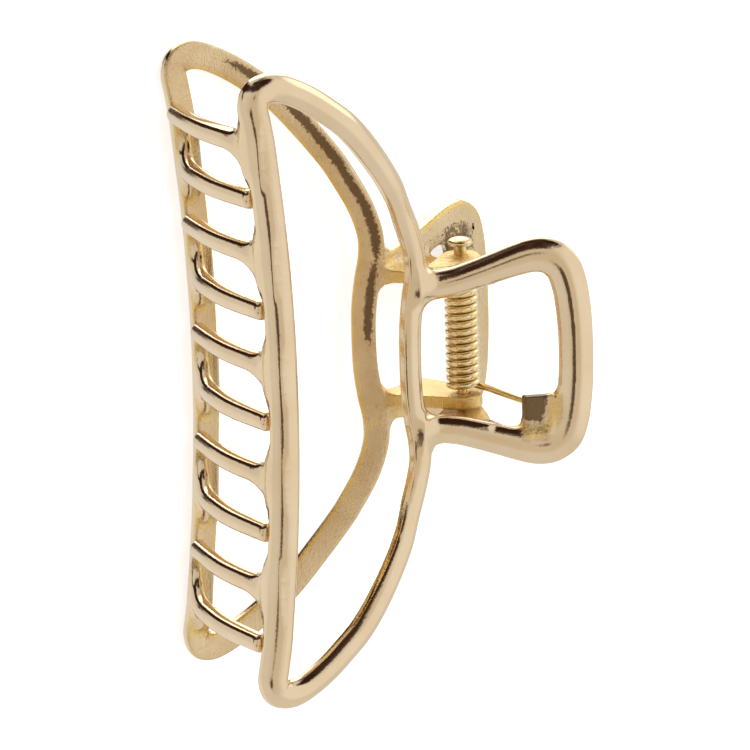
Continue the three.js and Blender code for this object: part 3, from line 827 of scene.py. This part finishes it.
# camera axes in the clip's own directions, tipped with it
ri = np.array([0.02850, 0.88446, 0.46576])
up = np.array([-0.96037, 0.15349, -0.23270])
to = np.array([-0.27731, -0.44066, 0.85377])
tip = np.array([[1, 0, 0], [0, CT, -ST], [0, ST, CT]])
ri, up, to = tip @ ri, tip @ up, tip @ to
eye = (BASE - 1.864 * ri - 3.949 * up + 837.3 * to) / 1000
cam_data = bpy.data.cameras.new("camera")
cam_data.lens = 254.4
cam_data.sensor_width = 36
cam_data.clip_start = 0.01
camera = bpy.data.objects.new("camera", cam_data)
bpy.context.scene.collection.objects.link(camera)
camera.matrix_world = Matrix([[ri[0], up[0], to[0], eye[0]], [ri[1], up[1], to[1], eye[1]],
                              [ri[2], up[2], to[2], eye[2]], [0, 0, 0, 1]])
bpy.context.scene.camera = camera
bpy.context.scene.view_settings.view_transform = "Standard"

# a pale tent with soft dark and bright cards around it, fixed in the room
def room():
    world = bpy.data.worlds.new("studio")
    bpy.context.scene.world = world
    world.use_nodes = True
    t = world.node_tree
    t.nodes.clear()
    link = t.links.new
    out = t.nodes.new("ShaderNodeOutputWorld")
    bg = t.nodes.new("ShaderNodeBackground")
    bg.inputs["Strength"].default_value = 1.0
    link(bg.outputs[0], out.inputs[0])
    co = t.nodes.new("ShaderNodeTexCoord")
    state = {"socket": None}

    def card(centre, inner, outer, color, amount=1.0):
        """A round card seen from the clip in the direction centre (right, up, towards the camera), in degrees."""
        v = centre[0] * ri + centre[1] * up + centre[2] * to
        v = v / np.linalg.norm(v)
        dot = t.nodes.new("ShaderNodeVectorMath")
        dot.operation = "DOT_PRODUCT"
        link(co.outputs["Generated"], dot.inputs[0])
        dot.inputs[1].default_value = tuple(map(float, v))
        m = t.nodes.new("ShaderNodeMapRange")
        m.interpolation_type = "SMOOTHSTEP"
        m.inputs["From Min"].default_value = math.cos(math.radians(outer))
        m.inputs["From Max"].default_value = math.cos(math.radians(inner))
        m.inputs["To Min"].default_value = 0.0
        m.inputs["To Max"].default_value = amount
        link(dot.outputs["Value"], m.inputs["Value"])
        mix = t.nodes.new("ShaderNodeMix")
        mix.data_type = "RGBA"
        link(m.outputs[0], mix.inputs["Factor"])
        if state["socket"] is None:
            mix.inputs["A"].default_value = (*ROOM_BASE, 1)
        else:
            link(state["socket"], mix.inputs["A"])
        mix.inputs["B"].default_value = (*color, 1)
        state["socket"] = mix.outputs["Result"]

    for args in CARDS:
        card(*args)
    # seen directly, the room is plain and pale
    plain = t.nodes.new("ShaderNodeMix")
    plain.data_type = "RGBA"
    plain.inputs["B"].default_value = (0.97, 0.97, 0.97, 1)
    path = t.nodes.new("ShaderNodeLightPath")
    link(path.outputs["Is Camera Ray"], plain.inputs["Factor"])
    link(state["socket"], plain.inputs["A"])
    link(plain.outputs["Result"], bg.inputs["Color"])


ROOM_BASE = (0.77, 0.765, 0.75)
DARK = (0.04, 0.016, 0.009)
CARDS = [
    ((0.05, -0.3, 0.95), 20, 48, (0.70, 0.65, 0.57), 1.0),
    ((0.95, 0.0, 0.3), 30, 50, (0.93, 0.92, 0.90), 1.0),
    ((-0.72, -0.45, -0.52), 20, 40, (0.90, 0.89, 0.87), 1.0),
    ((-0.14, 0.82, -0.56), 22, 33, (2.2, 2.18, 2.12), 1.0),
    ((0.80, 0.55, -0.22), 12, 21, (1.6, 1.58, 1.53), 1.0),
    ((-0.60, 0.54, -0.60), 8, 13, DARK, 1.0),
    ((-0.70, 0.58, -0.40), 10, 15, DARK, 1.0),
    ((-0.78, 0.60, -0.16), 11, 16, DARK, 1.0),
    ((-0.80, 0.58, 0.08), 13, 18, DARK, 1.0),
    ((-0.93, 0.34, 0.06), 8, 12, DARK, 1.0),
    ((-0.73, 0.60, 0.32), 12, 17, DARK, 1.0),
    ((-0.60, 0.54, 0.56), 11, 16, DARK, 0.95),
    ((-0.42, 0.50, 0.76), 9, 14, DARK, 0.9),
    ((0.37, 0.68, 0.63), 13, 17, DARK, 1.0),
    ((0.41, 0.56, 0.72), 8, 12, DARK, 0.9),
    ((0.10, 0.74, 0.66), 10, 15, DARK, 0.95),
    ((-0.12, 0.76, 0.64), 9, 14, DARK, 0.95),
    ((-0.25, 0.80, 0.54), 8, 13, DARK, 0.9),
    ((-0.25, 0.46, 0.85), 9, 13, DARK, 0.95),
    ((-0.03, 0.48, 0.88), 10, 14, DARK, 0.95),
    ((0.19, 0.46, 0.87), 9, 13, DARK, 0.95),
    ((0.06, -0.08, 0.99), 4, 8, (0.08, 0.045, 0.025), 0.8),
    ((-0.18, -0.58, 0.79), 8, 12, DARK, 0.9),
    ((-0.97, 0.14, 0.20), 5, 9, DARK, 0.9),
    ((-0.64, 0.30, -0.70), 5, 9, DARK, 0.9),
    ((0.07, 0.93, 0.36), 8, 13, DARK, 0.8),
]
room()


def area(name, where, at, size, power, size_y=None):
    d = bpy.data.lights.new(name, "AREA")
    d.energy = power
    d.shape = "RECTANGLE"
    d.size = size
    d.size_y = size_y or size
    o = bpy.data.objects.new(name, d)
    bpy.context.scene.collection.objects.link(o)
    o.location = where
    o.rotation_euler = (Vector(at) - Vector(where)).to_track_quat("-Z", "Y").to_euler()
    return o


middle = Vector((0, 0, 0.015))
V = lambda a, b, c: Vector(a * ri + b * up + c * to) + middle
area("key", V(0.20, 0.10, 0.45), middle, 0.20, 0.9).visible_glossy = False      # the metal's lights are the cards
